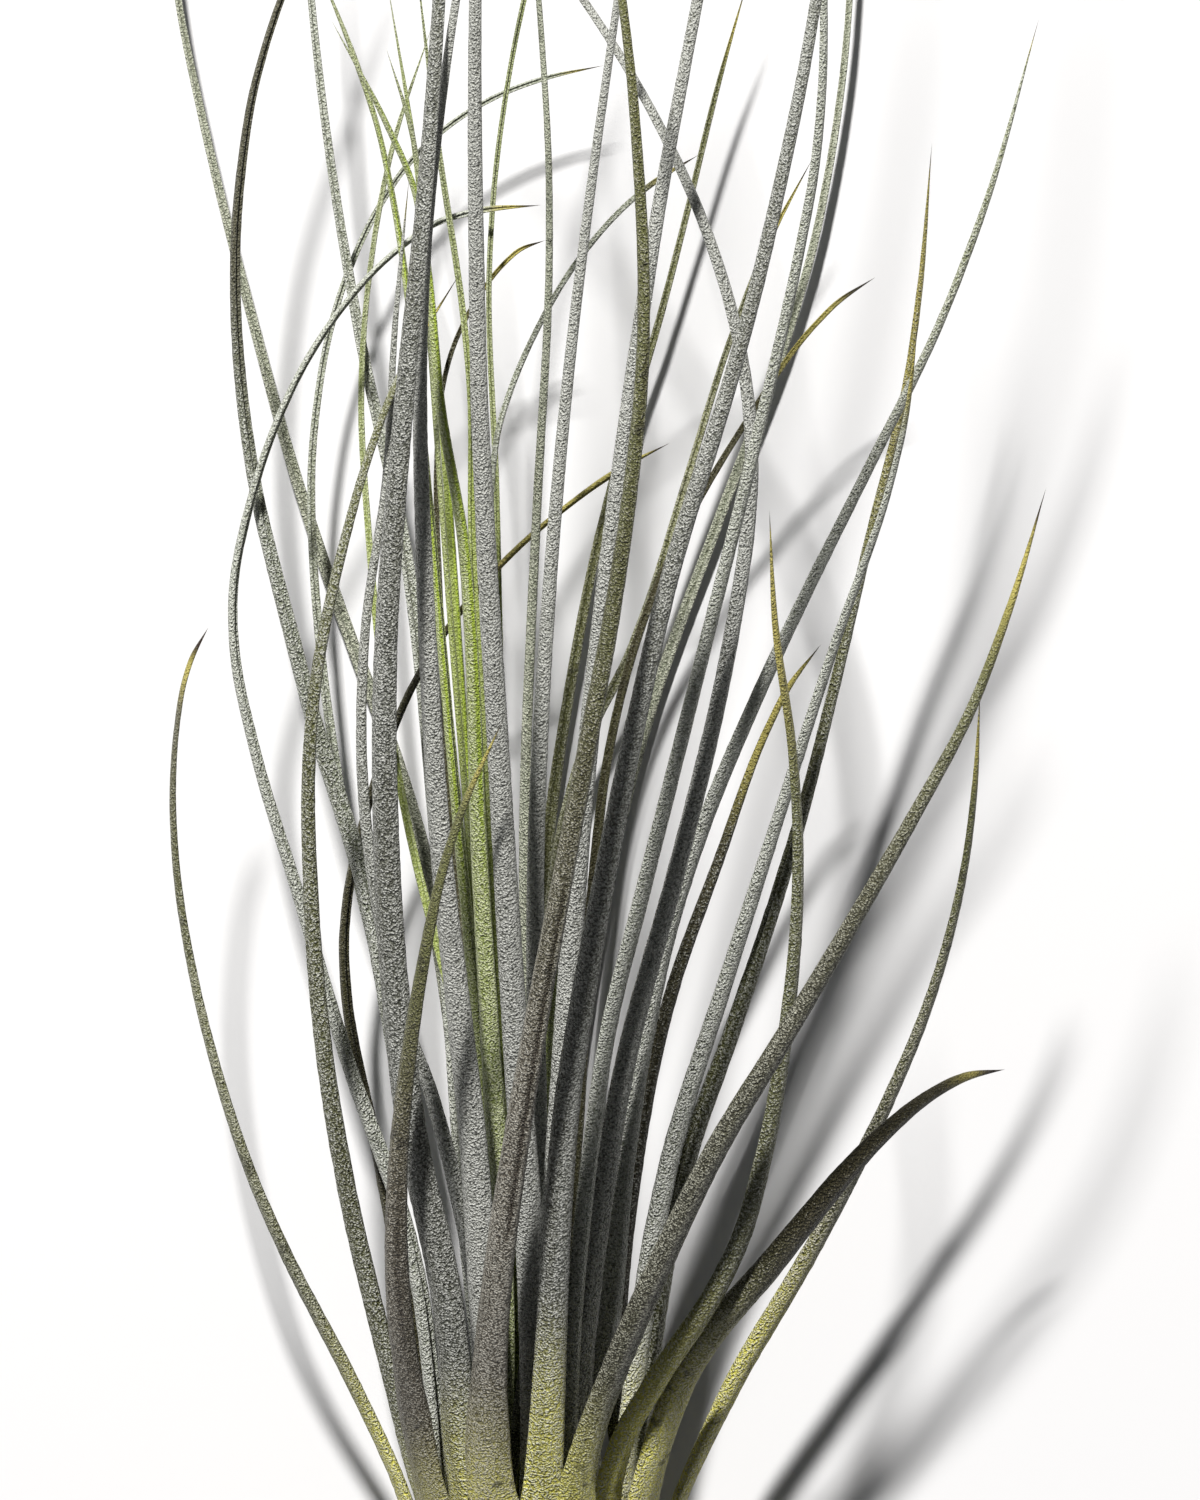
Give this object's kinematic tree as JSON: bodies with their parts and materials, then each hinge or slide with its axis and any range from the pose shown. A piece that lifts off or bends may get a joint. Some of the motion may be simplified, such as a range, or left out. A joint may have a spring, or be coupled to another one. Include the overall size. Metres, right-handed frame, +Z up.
{
  "type": "juncea air plant",
  "caption": "Rush-leaved air plant, as picked and laid on its side: a tuft of long tapering channelled leaves fanning out from a small bulb with dry roots.",
  "frame": {"origin": "middle of the flat spot under the bulb, on the surface that the plant lies on", "axes": "+Y from the root end to the leaf tips, +X the plant's right seen from above with the tips up, +Z up"},
  "size_m": [0.129, 0.3671, 0.1558],
  "materials": {
    "dry_stem": "dry, matt, fibrous brown",
    "brown_leaf": "matt grey-brown skin with fine pale scales",
    "olive_leaf": "matt olive skin with fine pale scales",
    "silver_leaf": "silver-grey pebbled scales over green, softly glinting",
    "green_leaf": "fresh lime green with sparse pale scales"
  },
  "bodies": {
    "root": {"stem": "dry_stem", "outer_leaf_01": "olive_leaf", "outer_leaf_02": "olive_leaf", "outer_leaf_03": "silver_leaf", "outer_leaf_04": "brown_leaf", "outer_leaf_05": "brown_leaf", "outer_leaf_06": "olive_leaf", "outer_leaf_07": "brown_leaf", "outer_leaf_08": "brown_leaf", "outer_leaf_09": "olive_leaf", "outer_leaf_10": "olive_leaf", "outer_leaf_11": "olive_leaf", "second_leaf_01": "olive_leaf", "second_leaf_02": "olive_leaf", "second_leaf_03": "silver_leaf", "second_leaf_04": "silver_leaf", "second_leaf_05": "silver_leaf", "second_leaf_06": "silver_leaf", "second_leaf_07": "silver_leaf", "second_leaf_08": "silver_leaf", "second_leaf_09": "silver_leaf", "second_leaf_10": "silver_leaf", "third_leaf_01": "olive_leaf", "third_leaf_02": "silver_leaf", "third_leaf_03": "silver_leaf", "third_leaf_04": "silver_leaf", "third_leaf_05": "silver_leaf", "third_leaf_06": "silver_leaf", "third_leaf_07": "silver_leaf", "third_leaf_08": "silver_leaf", "third_leaf_09": "silver_leaf", "inner_leaf_01": "silver_leaf", "inner_leaf_02": "green_leaf", "inner_leaf_03": "green_leaf", "inner_leaf_04": "green_leaf", "inner_leaf_05": "green_leaf", "inner_leaf_06": "green_leaf", "inner_leaf_07": "silver_leaf", "heart_leaf_01": "silver_leaf", "heart_leaf_02": "olive_leaf", "heart_leaf_03": "green_leaf", "heart_leaf_04": "green_leaf", "heart_leaf_05": "green_leaf"}
  },
  "joints": []
}
